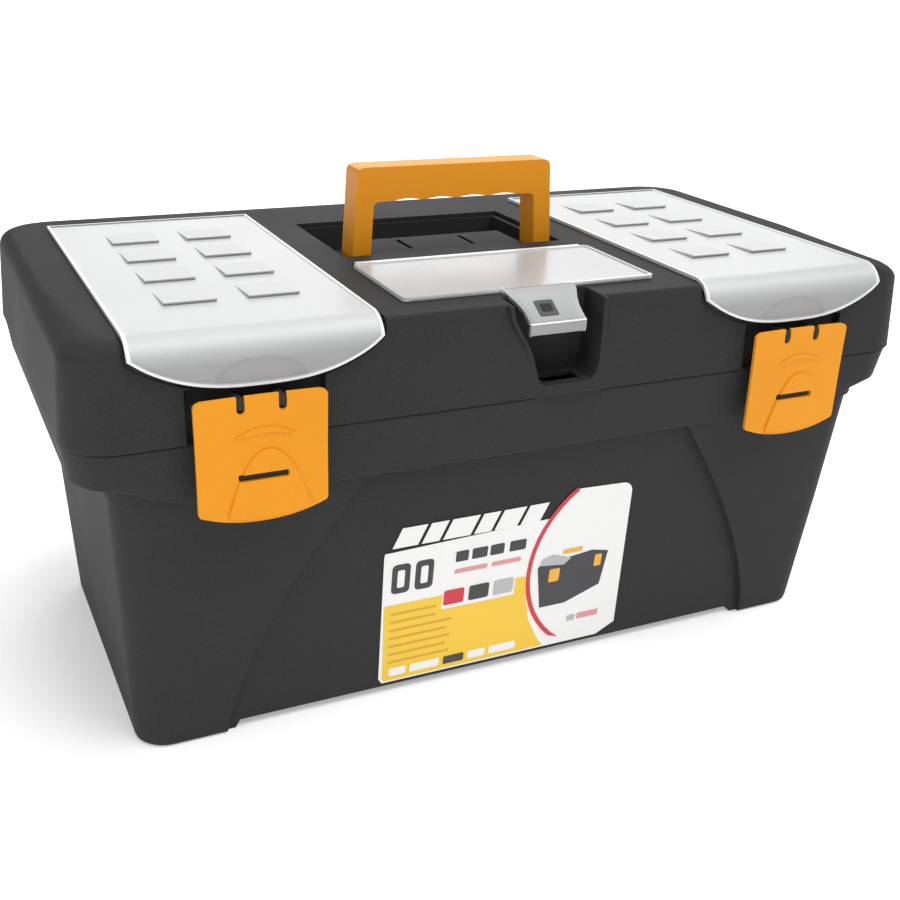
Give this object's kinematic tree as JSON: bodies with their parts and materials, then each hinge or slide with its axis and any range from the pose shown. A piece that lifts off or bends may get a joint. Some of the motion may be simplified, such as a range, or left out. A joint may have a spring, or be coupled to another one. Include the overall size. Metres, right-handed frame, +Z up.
{
  "type": "toolbox with tray",
  "caption": "Lidded plastic toolbox with a lift-out tray, covered organizers in the lid, snap latches and a folding carrying handle.",
  "frame": {"origin": "middle of the footprint, on the surface that the feet stand on", "axes": "+X along the length towards the right end, front and latches towards -Y, +Z up"},
  "size_m": [0.56, 0.317, 0.323],
  "materials": {
    "dark_shell": "fine satin grain, moulded polypropylene",
    "dark_insert": "satin moulded polypropylene",
    "orange_fitting": "semi-gloss moulded plastic",
    "frosted_cover": "frosted translucent plastic",
    "clear_cover": "clear plastic with a light haze",
    "pin_steel": "drawn wire",
    "label_film": null
  },
  "bodies": {
    "base": {"base_shell": "dark_shell", "hinge_pin_left": "pin_steel", "hinge_pin_right": "pin_steel", "front_label": "label_film", "hinge_base_left": "dark_shell", "hinge_base_right": "dark_shell", "latch_catch_left": "dark_shell", "latch_catch_right": "dark_shell"},
    "lid": {"lid_shell": "dark_shell", "lid_skirt": "dark_shell", "centre_bin": "dark_shell", "handle_well": "dark_shell", "notch_pocket": "dark_shell", "latch_seat_left": "dark_shell", "latch_seat_right": "dark_shell", "organizer_bin_left": "dark_shell", "organizer_bin_right": "dark_shell", "organizer_divider_left_1": "dark_insert", "organizer_divider_left_2": "dark_insert", "organizer_divider_right_1": "dark_insert", "organizer_divider_right_2": "dark_insert", "hinge_lid_left": "dark_shell", "hinge_lid_right": "dark_shell"},
    "tray": {"tray": "dark_insert", "tray_grip": "orange_fitting", "tray_divider_front_1": "dark_insert", "tray_divider_front_2": "dark_insert", "tray_divider_back_1": "dark_insert", "tray_divider_back_2": "dark_insert"},
    "handle": {"carry_handle": "orange_fitting"},
    "latch_left": {"latch_left": "orange_fitting"},
    "latch_right": {"latch_right": "orange_fitting"},
    "organizer_cover_left": {"organizer_cover_left": "frosted_cover"},
    "organizer_cover_right": {"organizer_cover_right": "frosted_cover"},
    "centre_cover": {"centre_cover": "clear_cover"}
  },
  "joints": [
    {"name": "lid_hinge", "type": "hinge", "parent": "base", "child": "lid", "pos_m": [0, 0.1535, 0.21], "axis": [-1, 0, 0], "range_deg": [0, 100]},
    {"name": "tray_lift", "type": "slide", "parent": "base", "child": "tray", "axis": [0, 0, 1], "range_m": [0, 0.033]},
    {"name": "handle_fold", "type": "hinge", "parent": "lid", "child": "handle", "pos_m": [0, 0, 0.257], "axis": [-1, 0, 0], "range_deg": [0, 90]},
    {"name": "latch_left_swing", "type": "hinge", "parent": "lid", "child": "latch_left", "pos_m": [-0.1795, -0.154, 0.231], "axis": [-1, 0, 0], "range_deg": [0, 95]},
    {"name": "latch_right_swing", "type": "hinge", "parent": "lid", "child": "latch_right", "pos_m": [0.1795, -0.154, 0.231], "axis": [-1, 0, 0], "range_deg": [0, 95]},
    {"name": "organizer_left_open", "type": "hinge", "parent": "lid", "child": "organizer_cover_left", "pos_m": [-0.1765, 0.117, 0.2655], "axis": [-1, 0, 0], "range_deg": [0, 105]},
    {"name": "organizer_right_open", "type": "hinge", "parent": "lid", "child": "organizer_cover_right", "pos_m": [0.1765, 0.117, 0.2655], "axis": [-1, 0, 0], "range_deg": [0, 105]},
    {"name": "centre_cover_open", "type": "hinge", "parent": "lid", "child": "centre_cover", "pos_m": [0, -0.0355, 0.2655], "axis": [-1, 0, 0], "range_deg": [0, 90]}
  ]
}
